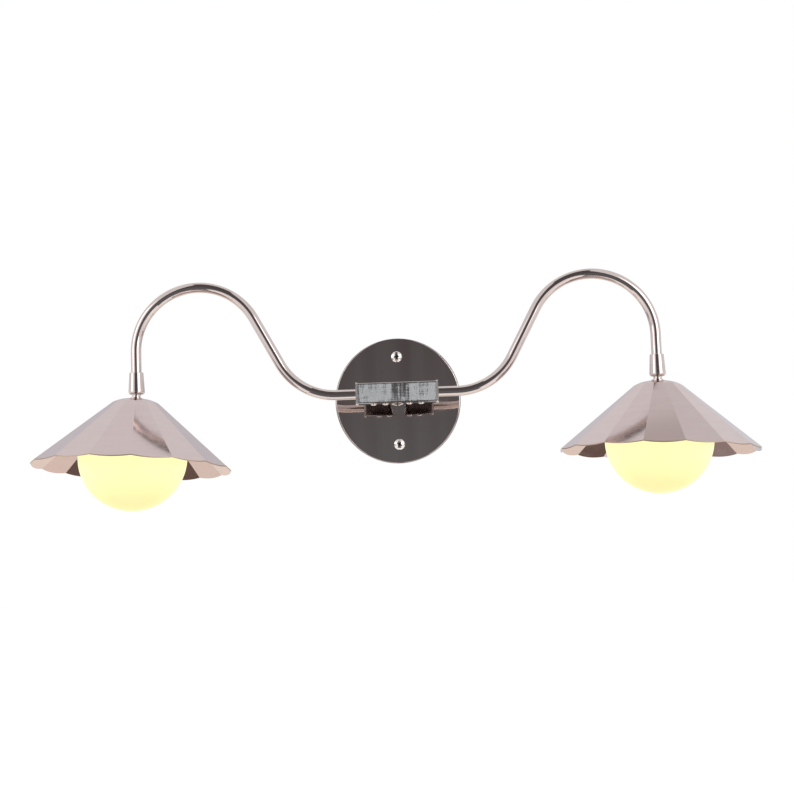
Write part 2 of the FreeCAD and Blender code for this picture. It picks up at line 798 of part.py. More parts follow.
def make_shade_nut(side, name):
    outer, height = "size.shade_nut_diameter / 2", "size.shade_nut_height"
    edge = "size.shade_nut_height / 4"
    body = turned(name, [
        (TAIL_HOLE, "0"),
        (outer, "0"),
        (outer, f"{height} - {edge}"),
        (f"{outer} - {edge}", height),
        (TAIL_HOLE, height),
    ])
    node(body, on_lamp(side, SHADE_TOP))


# Globe and lampholder, stacked below the shade's crown

SOCKET_SLOT = "(size.pin_thickness + 2 * size.contact_sheet + 2 * size.running_gap)"
CARRIER_TOP = f"(size.pivot_to_shade + {SHEET_DROP})"
CARRIER_FACE = f"({CARRIER_TOP} + size.carrier_hub_height + size.carrier_flange)"
HOLDER_TOP = f"({CARRIER_FACE} + size.lock_nut_height + size.holder_gap)"
HOLDER_FACE = f"({HOLDER_TOP} + size.holder_length)"


def make_carrier(side, name):
    hub, outer = "size.carrier_hub_diameter / 2", "size.carrier_diameter / 2"
    thread = "size.carrier_thread_diameter / 2"
    inner = f"({thread} - size.carrier_wall)"
    step = "size.carrier_hub_height"
    face = f"({step} + size.carrier_flange)"
    reach = f"({face} + size.carrier_thread_length)"
    body = turned(name, [
        (TAIL_HOLE, "0"),
        (TAIL_HOLE, f"-{face}"),
        (inner, f"-{face}"),
        (inner, f"-{reach}"),
        (thread, f"-{reach}"),
        (thread, f"-{face}"),
        (outer, f"-{face}"),
        (outer, f"-{step}"),
        (hub, f"-{step}"),
        (hub, "0"),
    ])
    node(body, on_lamp(side, f"-{CARRIER_TOP}"))


def make_gasket(side, name):
    inner = "size.carrier_thread_diameter / 2 + size.thread_gap"
    outer, thick = "size.carrier_diameter / 2", "size.gasket_thickness"
    body = turned(name, [(inner, "0"), (inner, f"-{thick}"), (outer, f"-{thick}"), (outer, "0")])
    node(body, on_lamp(side, f"-{CARRIER_FACE}"))


def make_lock_nut(side, name):
    nut = hex_nut(name, "size.lock_nut_across_flats", TAIL_HOLE, "size.lock_nut_height")
    node(nut, on_lamp(side, f"-({CARRIER_FACE} + size.lock_nut_height)"))


def make_globe(side, name):
    """Blown ball, ground flat at the top, with a threaded collar inside that screws onto the carrier."""
    radius = "(size.globe_diameter / 2)"
    inside = f"({radius} - size.globe_wall)"
    bore = "(size.carrier_thread_diameter / 2 + 2 * size.thread_gap)"
    collar = f"({bore} + size.globe_collar_wall)"
    top = f"(size.pivot_to_shade + size.globe_centre_depth - {CARRIER_FACE} - size.gasket_thickness)"
    body = turned(name, [
        (bore, top),
        (bore, f"{top} - size.globe_collar_length"),
        (collar, f"{top} - size.globe_collar_length"),
        (collar, f"sqrt({inside}^2 - {collar}^2)"),
        ("0", f"-{inside}", inside, -1),
        ("0", f"-{radius}"),
        (f"sqrt({radius}^2 - {top}^2)", top, radius, 1),
    ])
    node(body, on_lamp(side, "-(size.pivot_to_shade + size.globe_centre_depth)"))


def socket_box(body, name, side, width, thickness, from_face):
    """Rectangle across one of the two pin places, on the lampholder's lower face."""
    middle = f"{side} * size.pin_spacing / 2"
    return draw(new_sketch(body, name, "XY_Plane", from_face), [
        (f"{middle} - {thickness} / 2", f"-{width} / 2"),
        (f"{middle} + {thickness} / 2", f"-{width} / 2"),
        (f"{middle} + {thickness} / 2", f"{width} / 2"),
        (f"{middle} - {thickness} / 2", f"{width} / 2"),
    ])


def make_lampholder(side, name):
    neck, outer = "size.holder_neck_diameter / 2", "size.holder_diameter / 2"
    neck_end, length = "size.holder_neck_length", "size.holder_length"
    body = turned(name, [
        ("0", "-size.holder_thread_depth"),
        ("0", f"-{length}"),
        (outer, f"-{length}"),
        (outer, f"-{neck_end}"),
        (neck, f"-{neck_end}"),
        (neck, "0"),
        (TAIL_HOLE, "0"),
        (TAIL_HOLE, "-size.holder_thread_depth"),
    ])
    for end in (-1, 1):
        opening = socket_box(body, f"{name}_socket_{'b' if end > 0 else 'a'}", end,
                             "size.socket_width", SOCKET_SLOT, f"-{length}")
        pocket(body, opening, "size.socket_depth", reverse=True)
    leads = new_sketch(body, name + "_lead_holes", "XY_Plane", "-size.holder_thread_depth")
    for end in (-1, 1):
        draw_circle(leads, f"{end} * size.lead_hole_place", "0", "size.lead_hole_diameter / 2")
    pocket(body, leads, "size.holder_length - size.holder_thread_depth - size.socket_depth / 2")
    node(body, on_lamp(side, f"-{HOLDER_TOP}"))


def make_contacts(side, name):
    """Folded spring strip in each socket, open towards the pin."""
    members = []
    metal = "size.contact_sheet"
    for end in (-1, 1):
        item = new_body(f"{name}_{'b' if end > 0 else 'a'}")
        half = f"({SOCKET_SLOT} / 2 - size.running_gap)"
        strip = draw(new_sketch(item, item.Name + "_fold", "XZ_Plane"), [
            (f"-{half}", "0"),
            (f"-{half} + {metal}", "0"),
            (f"-{half} + {metal}", f"size.contact_height - {metal}"),
            (f"{half} - {metal}", f"size.contact_height - {metal}"),
            (f"{half} - {metal}", "0"),
            (half, "0"),
            (half, "size.contact_height"),
            (f"-{half}", "size.contact_height"),
        ])
        pad(item, strip, "size.socket_width - 4 * size.running_gap", symmetric=True)
        place = f"placement(vector({end} * size.pin_spacing / 2; 0; 0); rotation(vector(0; 0; 1); 0))"
        lift = "(size.socket_depth - size.contact_height)"
        item.setExpression("Placement", f"{on_lamp(side, f'-{HOLDER_FACE} + {lift}')} * {place}")
        members.append(item)
    group(name, members)


def make_pins(side, name):
    """Flat looped pins of the capsule lamp."""
    members = []
    for end in (-1, 1):
        item = new_body(f"{name}_{'b' if end > 0 else 'a'}")
        half = "(size.pin_width / 2)"
        loop = draw(new_sketch(item, item.Name + "_loop", "YZ_Plane"), [
            (f"-{half}", "0"),
            (half, "0"),
            (half, f"size.pin_length - {half}"),
            ("0", "size.pin_length", half, 1),
            (f"-{half}", f"size.pin_length - {half}", half, 1),
        ])
        pad(item, loop, "size.pin_thickness", symmetric=True)
        place = f"placement(vector({end} * size.pin_spacing / 2; 0; 0); rotation(vector(0; 0; 1); 0))"
        base = f"-({HOLDER_FACE} + size.capsule_gap)"
        item.setExpression("Placement", f"{on_lamp(side, base)} * {place}")
        members.append(item)
    group(name, members)


def make_capsule(side, name):
    base, bulb = "size.capsule_base_diameter / 2", "(size.capsule_diameter / 2)"
    base_end, end = "size.capsule_base_length", "size.capsule_length"
    body = turned(name, [
        ("0", "0"),
        ("0", f"-{end}"),
        (bulb, f"-({end} - {bulb})", bulb, 1),
        (bulb, f"-({base_end} + 1)"),
        (base, f"-{base_end}"),
        (base, "0"),
    ])
    node(body, on_lamp(side, f"-({HOLDER_FACE} + size.capsule_gap)"))


make_backplate()
make_crossbar()
make_wall_screws()
make_stem()
make_stem_fasteners()
make_bar()
make_set_screws()
for side, side_name in ((-1, "left"), (1, "right")):
    make_end_cap(side, f"end_cap_{side_name}")
    make_arm(side, f"arm_{side_name}")
    make_cup(side, f"swivel_cup_{side_name}")
    make_cap(side, f"swivel_cap_{side_name}")
    make_springs(side, f"disc_springs_{side_name}")
    make_pad(side, f"friction_pad_{side_name}")
    make_ball(side, f"swivel_ball_{side_name}")
    make_shade_nut(side, f"shade_nut_{side_name}")
    make_shade(side, f"shade_{side_name}")
    make_carrier(side, f"globe_carrier_{side_name}")
    make_gasket(side, f"globe_gasket_{side_name}")
    make_lock_nut(side, f"lock_nut_{side_name}")
    make_lampholder(side, f"lampholder_{side_name}")
    make_contacts(side, f"socket_contacts_{side_name}")
    make_globe(side, f"globe_{side_name}")
    make_capsule(side, f"lamp_capsule_{side_name}")
    make_pins(side, f"lamp_pins_{side_name}")

doc.recompute()
for item in doc.Objects:
    if "Invalid" in item.State or "Error" in item.State:
        raise RuntimeError(f"{item.Name} failed: {item.State}")
for item in nodes:
    if item.Shape.isNull() or not item.Shape.isValid() or not item.Shape.Solids:
        raise RuntimeError(f"{item.Label} has no valid solid")

os.makedirs("parts", exist_ok=True)
for item in nodes:
    item.Shape.exportStep(f"parts/{item.Label}.step")
    print(f"{item.Label}: {len(item.Shape.Solids)} solid(s), {item.Shape.Volume:.1f} mm3")
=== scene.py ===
"""Looks of the double arm wall sconce: finishes, detailed screws, studio and camera."""

import json
import math

import bmesh
import bpy
from mathutils import Matrix, Vector

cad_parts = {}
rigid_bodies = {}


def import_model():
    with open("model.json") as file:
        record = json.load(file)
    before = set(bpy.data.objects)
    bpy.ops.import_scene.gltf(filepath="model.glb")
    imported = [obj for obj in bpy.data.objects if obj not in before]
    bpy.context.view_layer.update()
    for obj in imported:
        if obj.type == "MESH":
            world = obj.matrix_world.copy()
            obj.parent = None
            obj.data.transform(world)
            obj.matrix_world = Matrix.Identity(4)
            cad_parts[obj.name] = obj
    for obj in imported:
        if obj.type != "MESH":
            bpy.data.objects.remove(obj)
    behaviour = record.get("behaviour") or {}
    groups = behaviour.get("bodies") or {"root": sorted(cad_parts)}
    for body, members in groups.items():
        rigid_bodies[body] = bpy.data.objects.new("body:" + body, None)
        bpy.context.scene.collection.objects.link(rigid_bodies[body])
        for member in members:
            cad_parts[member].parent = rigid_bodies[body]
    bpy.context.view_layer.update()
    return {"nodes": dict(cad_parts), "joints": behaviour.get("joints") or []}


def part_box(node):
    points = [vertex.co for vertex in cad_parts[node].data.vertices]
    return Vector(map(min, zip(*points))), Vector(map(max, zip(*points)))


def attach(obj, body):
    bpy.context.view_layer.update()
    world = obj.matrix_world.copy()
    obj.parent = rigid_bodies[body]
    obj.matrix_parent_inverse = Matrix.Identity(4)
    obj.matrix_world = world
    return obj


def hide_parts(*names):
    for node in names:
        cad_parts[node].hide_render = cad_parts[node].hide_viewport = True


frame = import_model()
nodes = frame["nodes"]

# Places on the fixture, in metres
PLATE_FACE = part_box("backplate")[0].y
BAR_LOW, BAR_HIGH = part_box("body_bar")
BAR_MIDDLE = (BAR_LOW + BAR_HIGH) / 2
BAR_HALF_HEIGHT = BAR_MIDDLE.z - BAR_LOW.z
GLOBE_LOW, GLOBE_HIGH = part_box("globe_left")
SIDES = ("left", "right")
LAMP_AXIS = {joint["parent"].removesuffix("_ball"): joint["axis"] for joint in frame["joints"]
             if joint["name"].endswith("_spin")}

# Bands across the bar's front that stay polished: (middle, half width) along X
POLISHED_BANDS = ((0.002, 0.0045), (0.0105, 0.0028), (0.0235, 0.001), (-0.0335, 0.0012))

# Heights that the relief of each finish has, in metres
MOP_LINE_RELIEF = 0.0000006
BRUSHED_RELIEF = 0.000002
DRAWN_RELIEF = 0.000004
GLASS_RELIEF = 0.00001
ZINC_RELIEF = 0.00002
FIRED_RELIEF = 0.00003
THREAD_RELIEF = 0.0004

# Size of a smear that a hand leaves and width of a worn corner, in metres
HAND_MARK = 0.035
CORNER_WEAR = 0.0005
FINE_WEAR = 0.0003

# Screws, in metres: shank diameter, thread pitch and (arm width, arm reach, depth) of the drive
CANOPY_SHANK, CANOPY_PITCH, CANOPY_DRIVE = 0.0041, 0.0007, (0.0008, 0.0026, 0.0020)
SET_SHANK, SET_PITCH, SET_DRIVE = 0.003, 0.0005, (0.0004, 0.0013, 0.0010)
HEAD_EDGE = 0.0002
DOME_STEPS = 12
CREASE = math.radians(32)

# Floor and cards of the studio, in metres
STUDIO_FLOOR = -1.1
FLOOR_CARDS = -1.05
LOW_CARDS = -0.62
WALL_TOP = 2.0
CEILING_CARDS = 2.4
LOW_CEILING_CARD = 2.39
FRONT_CARDS = -1.8
BACK_CARDS = 2.6
FLOOR_HALF = 9.0
DARK_ACROSS = (-0.75, 0.62)

# Camera: place in metres, turns in degrees and lens in millimetres
CAMERA_PLACE = (0.00795, -1.17998, -0.07985)
CAMERA_YAW, CAMERA_PITCH, CAMERA_ROLL = 0.44, 4.11, 1.99
CAMERA_LENS, CAMERA_SENSOR = 52.15, 36.0


# Shader building

def effect(name, inputs, outputs):
    """Empty node group with named sockets; inputs are (label, kind, value)."""
    tree = bpy.data.node_groups.new(name, "ShaderNodeTree")
    for label, kind, value in inputs:
        socket = tree.interface.new_socket(label, in_out="INPUT", socket_type="NodeSocket" + kind)
        socket.default_value = value
    for label, kind in outputs:
        tree.interface.new_socket(label, in_out="OUTPUT", socket_type="NodeSocket" + kind)
    return tree, tree.nodes.new("NodeGroupInput"), tree.nodes.new("NodeGroupOutput")


def add(tree, kind, **settings):
    """New shader node with some of its settings chosen."""
    made = tree.nodes.new("ShaderNode" + kind)
    for label, value in settings.items():
        setattr(made, label, value)
    return made


def feed(tree, socket, value):
    """Links a socket, or sets it to a plain value."""
    if isinstance(value, bpy.types.NodeSocket):
        tree.links.new(value, socket)
    else:
        socket.default_value = value


def calculate(tree, operation, first, second=0.0, third=0.0, clamp=False):
    made = add(tree, "Math", operation=operation, use_clamp=clamp)
    for socket, value in zip(made.inputs, (first, second, third)):
        feed(tree, socket, value)
    return made.outputs[0]


def remap(tree, value, from_low, from_high, to_low=0.0, to_high=1.0):
    """Soft step from one level to another while the value crosses a range."""
    made = add(tree, "MapRange", interpolation_type="SMOOTHSTEP")
    for label, number in (("Value", value), ("From Min", from_low), ("From Max", from_high),
                          ("To Min", to_low), ("To Max", to_high)):
        feed(tree, made.inputs[label], number)
    return made.outputs[0]


def blend_colours(tree, share, first, second):
    """First colour where the share is zero, second where it is one."""
    made = add(tree, "Mix", data_type="RGBA")
    feed(tree, made.inputs[0], share)
    feed(tree, made.inputs[6], first)
    feed(tree, made.inputs[7], second)
    return made.outputs[2]


def on_part(tree):
    """Coordinates fixed to the piece, in metres."""
    return add(tree, "TexCoord").outputs["Object"]


def split(tree, place):
    """X, Y and Z of a place or a direction."""
    made = add(tree, "SeparateXYZ")
    feed(tree, made.inputs[0], place)
    return made.outputs


def noise(tree, place, scale, detail=2.0, roughness=0.5):
    """Cloudy values around a half; scale is in clouds per metre."""
    made = add(tree, "TexNoise")
    feed(tree, made.inputs["Vector"], place)
    feed(tree, made.inputs["Scale"], scale)
    feed(tree, made.inputs["Detail"], detail)
    feed(tree, made.inputs["Roughness"], roughness)
    return made.outputs["Fac"]


def scaled(tree, place, factors):
    """A place stretched by its own factor along each direction."""
    made = add(tree, "VectorMath", operation="MULTIPLY")
    feed(tree, made.inputs[0], place)
    feed(tree, made.inputs[1], factors)
    return made.outputs[0]


def facing(tree, normal, direction):
    """Cosine of the angle between a normal and a direction."""
    made = add(tree, "VectorMath", operation="DOT_PRODUCT")
    feed(tree, made.inputs[0], normal)
    feed(tree, made.inputs[1], direction)
    return made.outputs["Value"]


def times(colour, share):
    """A plain colour made darker or lighter, never above full."""
    return tuple(min(1.0, part * share) for part in colour[:3]) + (1.0,)


# Effects that several finishes share

def make_polishing_lines():
    """Fine lines that the polishing mop leaves, long in the direction of the smallest number."""
    tree, given, out = effect("polishing_lines", [
        ("Lines per metre", "Vector", (400.0, 400.0, 20.0)), ("Contrast", "Float", 0.5)],
        [("Mask", "Float")])
    place = scaled(tree, on_part(tree), given.outputs["Lines per metre"])
    lines = noise(tree, place, 1.0, 3.0, 0.6)
    low = calculate(tree, "MULTIPLY_ADD", given.outputs["Contrast"], -0.3, 0.5)
    high = calculate(tree, "MULTIPLY_ADD", given.outputs["Contrast"], 0.3, 0.501)
    feed(tree, out.inputs["Mask"], remap(tree, lines, low, high))
    return tree


def make_hand_marks():
    """Broad soft smears from handling, with small spots in them."""
    tree, given, out = effect("hand_marks", [
        ("Size", "Float", 0.03), ("Amount", "Float", 0.5)], [("Mask", "Float")])
    place = on_part(tree)
    per_metre = calculate(tree, "DIVIDE", 1.0, given.outputs["Size"])
    smear = remap(tree, noise(tree, place, per_metre, 4.0, 0.55), 0.45, 0.72)
    spot_scale = calculate(tree, "MULTIPLY", per_metre, 14.0)
    spots = remap(tree, noise(tree, place, spot_scale, 2.0), 0.60, 0.75)
    both = calculate(tree, "MULTIPLY_ADD", spots, 0.35, smear, clamp=True)
    feed(tree, out.inputs["Mask"], calculate(tree, "MULTIPLY", both, given.outputs["Amount"]))
    return tree


def make_edge_wear():
    """Bright rubbed corners, broken up by noise."""
    tree, given, out = effect("edge_wear", [
        ("Width", "Float", 0.0006), ("Amount", "Float", 0.6)], [("Mask", "Float")])
    rounded = add(tree, "Bevel", samples=4)
    feed(tree, rounded.inputs["Radius"], given.outputs["Width"])
    flat = add(tree, "NewGeometry").outputs["Normal"]
    edge = remap(tree, facing(tree, rounded.outputs[0], flat), 0.995, 0.93)
    broken = remap(tree, noise(tree, on_part(tree), 420.0, 4.0, 0.7), 0.35, 0.65, 0.35, 1.0)
    worn = calculate(tree, "MULTIPLY", edge, broken)
    feed(tree, out.inputs["Mask"], calculate(tree, "MULTIPLY", worn, given.outputs["Amount"]))
    return tree


def make_surface_grain():
    """Small even grain for cast, plated, fired or moulded surfaces."""
    tree, given, out = effect("surface_grain", [
        ("Grain size", "Float", 0.0008), ("Mottle size", "Float", 0.01)],
        [("Grain", "Float"), ("Mottle", "Float")])
    place = on_part(tree)
    fine = calculate(tree, "DIVIDE", 1.0, given.outputs["Grain size"])
    broad = calculate(tree, "DIVIDE", 1.0, given.outputs["Mottle size"])
    feed(tree, out.inputs["Grain"], noise(tree, place, fine, 3.0, 0.6))
    feed(tree, out.inputs["Mottle"], remap(tree, noise(tree, place, broad, 3.0), 0.35, 0.65))
    return tree


def make_thread_lines():
    """Height of a screw thread that runs along the piece's depth."""
    tree, given, out = effect("thread_lines", [("Pitch", "Float", 0.001)], [("Height", "Float")])
    turns = calculate(tree, "DIVIDE", split(tree, on_part(tree))["Y"], given.outputs["Pitch"])
    feed(tree, out.inputs["Height"], calculate(tree, "PINGPONG", turns, 0.5))
    return tree


POLISHING_LINES = make_polishing_lines()
HAND_MARKS = make_hand_marks()
EDGE_WEAR = make_edge_wear()
SURFACE_GRAIN = make_surface_grain()
THREAD_LINES = make_thread_lines()


def use(tree, group, **values):
    """Places a shared effect in a material; labels are written with underscores."""
    made = add(tree, "Group")
    made.node_tree = group
    for label, value in values.items():
        feed(tree, made.inputs[label.replace("_", " ")], value)
    return made.outputs


def finish(name, **values):
    """New material and its shader; labels are the shader's own, with underscores."""
    material = bpy.data.materials.new(name)
    material.use_nodes = True
    tree = material.node_tree
    shader = tree.nodes["Principled BSDF"]
    for label, value in values.items():
        feed(tree, shader.inputs[label.replace("_", " ")], value)
    return material, tree, shader


def relief(tree, shader, height, distance):
    """Bumps the surface by a height from zero to one, times a distance in metres."""
    made = add(tree, "Bump")
    feed(tree, made.inputs["Height"], height)
    feed(tree, made.inputs["Distance"], distance)
    feed(tree, shader.inputs["Normal"], made.outputs[0])


def polishing(tree, lines):
    """Mop lines of a polished surface, and how matt they and the hand marks make it."""
    mop = use(tree, POLISHING_LINES, Lines_per_metre=lines, Contrast=0.7)["Mask"]
    smears = use(tree, HAND_MARKS, Size=HAND_MARK, Amount=0.8)["Mask"]
    matt = calculate(tree, "MULTIPLY_ADD", mop, 0.35, calculate(tree, "MULTIPLY", smears, 0.65),
                     clamp=True)
    return mop, matt


# Finishes

def nickel_plate(name, colour, worn, gloss, lines, wear_width=CORNER_WEAR, wear_amount=0.6,
                 painted_dark_rim=None):
    """Warm nickel with mop lines, smears and bright corners; gloss is (low, high) roughness.

    The last argument, if given, paints the edge that turns away from the front in its colour, as a
    painted dark reflection.
    """
    material, tree, shader = finish(name, Metallic=1.0)
    mop, matt = polishing(tree, lines)
    wear = use(tree, EDGE_WEAR, Width=wear_width, Amount=wear_amount)["Mask"]
    tinted = blend_colours(tree, calculate(tree, "MULTIPLY", mop, 0.25), colour, times(colour, 0.86))
    # Painted dark reflection on the rounded rim: faces that turn away from the front take the edge
    # colour.
    if painted_dark_rim:
        normal = split(tree, add(tree, "TexCoord").outputs["Normal"])
        turned = remap(tree, calculate(tree, "ABSOLUTE", normal["Y"]), 0.985, 0.90)
        tinted = blend_colours(tree, turned, tinted, painted_dark_rim)
    feed(tree, shader.inputs["Base Color"], blend_colours(tree, wear, tinted, worn))
    feed(tree, shader.inputs["Roughness"], remap(tree, matt, 0.0, 1.0, *gloss))
    relief(tree, shader, mop, MOP_LINE_RELIEF)
    return material


NICKEL = (0.60, 0.52, 0.50, 1.0)
NICKEL_WORN = (0.80, 0.74, 0.70, 1.0)
# The plate's rounded rim gets a painted dark reflection.
plate_nickel = nickel_plate("plate_nickel", NICKEL, NICKEL_WORN, (0.03, 0.10), (420.0, 1.0, 9.0),
                            wear_amount=0.15, painted_dark_rim=(0.30, 0.265, 0.26, 1.0))
tube_nickel = nickel_plate("tube_nickel", NICKEL, NICKEL_WORN, (0.04, 0.10), (260.0, 260.0, 260.0),
                           wear_amount=0.3)
swivel_nickel = nickel_plate("swivel_nickel", NICKEL, NICKEL_WORN, (0.05, 0.12), (60.0, 60.0, 900.0))
cap_nickel = nickel_plate("cap_nickel", (0.76, 0.73, 0.71, 1.0), (0.88, 0.86, 0.84, 1.0),
                          (0.34, 0.46), (300.0, 300.0, 300.0), wear_width=FINE_WEAR)
screw_nickel = nickel_plate("screw_nickel", (0.74, 0.69, 0.66, 1.0), (0.86, 0.82, 0.79, 1.0),
                            (0.08, 0.18), (500.0, 500.0, 500.0), wear_width=FINE_WEAR)
# Painted shade: the walls of each screw drive are painted dark, as shade in the recess.
recess_painted_shade = nickel_plate("recess_painted_shade", (0.10, 0.085, 0.085, 1.0), (0.14, 0.12, 0.12, 1.0),
                             (0.35, 0.5), (500.0, 500.0, 500.0), wear_width=FINE_WEAR)
SCREW_FINISHES = (screw_nickel, recess_painted_shade)


def make_shade_nickel(side):
    """Pressed shade sheet: softly polished panels, and a sheared rim left rough and tinted brown as a
    painted warm reflection.
    """
    material, tree, shader = finish(f"shade_nickel_{side}", Metallic=1.0)
    brushed, matt = polishing(tree, (40.0, 40.0, 260.0))
    along_axis = facing(tree, add(tree, "TexCoord").outputs["Normal"], tuple(LAMP_AXIS[side]))
    rim = remap(tree, calculate(tree, "ABSOLUTE", along_axis), 0.35, 0.2)
    panel = blend_colours(tree, calculate(tree, "MULTIPLY", brushed, 0.25), (0.575, 0.478, 0.475, 1.0),
                          (0.51, 0.42, 0.415, 1.0))
    # Painted reflection: the rim faces take a brown tint for warm light seen on the edge; their
    # roughness is the real sheared edge.
    feed(tree, shader.inputs["Base Color"], blend_colours(tree, rim, panel, (0.40, 0.29, 0.23, 1.0)))
    polished = remap(tree, matt, 0.0, 1.0, 0.08, 0.16)
    feed(tree, shader.inputs["Roughness"], calculate(tree, "MULTIPLY_ADD", rim, 0.4, polished))
    relief(tree, shader, brushed, MOP_LINE_RELIEF)
    return material


def make_bar_nickel():
    """Drawn block: its front is rubbed matt both ways between polished bands and painted pale blue-grey
    there as a painted reflection, the rest is polished.
    """
    material, tree, shader = finish("bar_nickel", Metallic=1.0)
    place = on_part(tree)
    position = split(tree, place)
    front = remap(tree, position["Y"], BAR_LOW.y + 0.0008, BAR_LOW.y + 0.0002)
    along = calculate(tree, "MULTIPLY_ADD", noise(tree, place, 160.0), 0.004, position["X"])
    bands = 1.0
    for middle, half in POLISHED_BANDS:
        away = calculate(tree, "ABSOLUTE", calculate(tree, "SUBTRACT", along, middle))
        bands = calculate(tree, "MULTIPLY", bands, remap(tree, away, half * 0.6, half * 1.3, 0.12, 1.0))
    across = use(tree, POLISHING_LINES, Lines_per_metre=(60.0, 60.0, 700.0), Contrast=0.5)["Mask"]
    upright = use(tree, POLISHING_LINES, Lines_per_metre=(520.0, 60.0, 45.0), Contrast=0.6)["Mask"]
    rubbed = calculate(tree, "MULTIPLY_ADD", across, 0.35, calculate(tree, "MULTIPLY", upright, 0.70))
    from_middle = calculate(tree, "ABSOLUTE", calculate(tree, "SUBTRACT", position["Z"], BAR_MIDDLE.z))
    inner = remap(tree, from_middle, BAR_HALF_HEIGHT - 0.0006, BAR_HALF_HEIGHT - 0.0019)
    brushed = calculate(tree, "MULTIPLY", calculate(tree, "MULTIPLY_ADD", bands, 0.62, rubbed), inner)
    rubbed_and_painted_reflection = calculate(tree, "MULTIPLY", brushed, front)
    wear = use(tree, EDGE_WEAR, Width=CORNER_WEAR, Amount=0.15)["Mask"]
    # Painted reflection: the rubbed parts of the front are painted pale blue-grey for the studio they
    # mirror; their roughness is the real rubbed finish.
    painted_studio_reflection = blend_colours(tree, rubbed_and_painted_reflection, (0.46, 0.41, 0.40, 1.0), (0.68, 0.70, 0.72, 1.0))
    feed(tree, shader.inputs["Base Color"], blend_colours(tree, wear, painted_studio_reflection, NICKEL_WORN))
    feed(tree, shader.inputs["Roughness"], remap(tree, rubbed_and_painted_reflection, 0.05, 1.2, 0.07, 0.50))
    relief(tree, shader, rubbed, BRUSHED_RELIEF)
    return material


def make_zinc(name, threaded=False):
    """Zinc plate with a crystal mottle, for the pieces that the plate and the shades hide."""
    material, tree, shader = finish(name, Metallic=1.0)
    grain = use(tree, SURFACE_GRAIN, Grain_size=0.0006, Mottle_size=0.006)
    wear = use(tree, EDGE_WEAR, Width=CORNER_WEAR, Amount=0.7)["Mask"]
    body = blend_colours(tree, grain["Mottle"], (0.50, 0.51, 0.50, 1.0), (0.64, 0.65, 0.66, 1.0))
    feed(tree, shader.inputs["Base Color"], blend_colours(tree, wear, body, (0.75, 0.75, 0.74, 1.0)))
    feed(tree, shader.inputs["Roughness"], remap(tree, grain["Mottle"], 0.0, 1.0, 0.30, 0.48))
    if threaded:
        relief(tree, shader, use(tree, THREAD_LINES, Pitch=0.001)["Height"], THREAD_RELIEF)
    else:
        relief(tree, shader, grain["Grain"], ZINC_RELIEF)
    return material


def make_opal():
    """Satin opal glass, lit from inside: pale round the lamp, deeper yellow towards its foot."""
    material, tree, shader = finish("opal_glass", IOR=1.5, Metallic=0.0, Transmission_Weight=0.0,
                                    Emission_Strength=1.0)
    grain = use(tree, SURFACE_GRAIN, Grain_size=0.004, Mottle_size=0.03)
    size = GLOBE_HIGH.z - GLOBE_LOW.z
    foot = remap(tree, split(tree, on_part(tree))["Z"], GLOBE_LOW.z + 0.42 * size, GLOBE_LOW.z)
    deep = calculate(tree, "MULTIPLY_ADD", grain["Mottle"], 0.05, foot, clamp=True)
    feed(tree, shader.inputs["Base Color"],
         blend_colours(tree, grain["Mottle"], (0.22, 0.22, 0.13, 1.0), (0.25, 0.25, 0.15, 1.0)))
    feed(tree, shader.inputs["Emission Color"],
         blend_colours(tree, deep, (0.93, 0.92, 0.43, 1.0), (0.88, 0.65, 0.27, 1.0)))
    feed(tree, shader.inputs["Roughness"], remap(tree, grain["Grain"], 0.3, 0.7, 0.34, 0.46))
    relief(tree, shader, grain["Grain"], GLASS_RELIEF)
    return material


def make_fired(name, colour, darker, rough, coat):
    """Ceramic, rubber or moulded plastic: mottled body with a fine grain."""
    material, tree, shader = finish(name, Metallic=0.0, Coat_Weight=coat)
    grain = use(tree, SURFACE_GRAIN, Grain_size=0.0009, Mottle_size=0.007)
    wear = use(tree, EDGE_WEAR, Width=0.0004, Amount=0.4)["Mask"]
    body = blend_colours(tree, grain["Mottle"], colour, darker)
    feed(tree, shader.inputs["Base Color"], blend_colours(tree, wear, body, times(colour, 1.08)))
    feed(tree, shader.inputs["Roughness"], remap(tree, grain["Grain"], 0.3, 0.7, *rough))
    relief(tree, shader, grain["Grain"], FIRED_RELIEF)
    return material


def make_strip_metal(name, colour, aged, rough):
    """Plain drawn strip or wire with tarnish in patches."""
    material, tree, shader = finish(name, Metallic=1.0)
    tarnish = use(tree, HAND_MARKS, Size=0.006, Amount=0.8)["Mask"]
    lines = use(tree, POLISHING_LINES, Lines_per_metre=(1500.0, 1500.0, 60.0), Contrast=0.5)["Mask"]
    feed(tree, shader.inputs["Base Color"], blend_colours(tree, tarnish, colour, aged))
    matt = calculate(tree, "MULTIPLY_ADD", lines, 0.4, calculate(tree, "MULTIPLY", tarnish, 0.6))
    feed(tree, shader.inputs["Roughness"], remap(tree, matt, 0.0, 1.0, *rough))
    relief(tree, shader, lines, DRAWN_RELIEF)
    return material


def make_lamp_glass():
    """Clear glass of the capsule lamp, glowing with its light."""
    material, tree, shader = finish("lamp_glass", Metallic=0.0, Transmission_Weight=0.9, IOR=1.47,
                                    Emission_Strength=2.0)
    streaks = use(tree, POLISHING_LINES, Lines_per_metre=(300.0, 300.0, 30.0), Contrast=0.5)["Mask"]
    smears = use(tree, HAND_MARKS, Size=0.01, Amount=0.5)["Mask"]
    feed(tree, shader.inputs["Base Color"],
         blend_colours(tree, smears, (1.0, 0.98, 0.92, 1.0), (0.92, 0.88, 0.78, 1.0)))
    feed(tree, shader.inputs["Emission Color"],
         blend_colours(tree, streaks, (1.0, 0.86, 0.55, 1.0), (0.9, 0.74, 0.42, 1.0)))
    feed(tree, shader.inputs["Roughness"], remap(tree, smears, 0.0, 0.5, 0.03, 0.18))
    relief(tree, shader, streaks, GLASS_RELIEF)
    return material


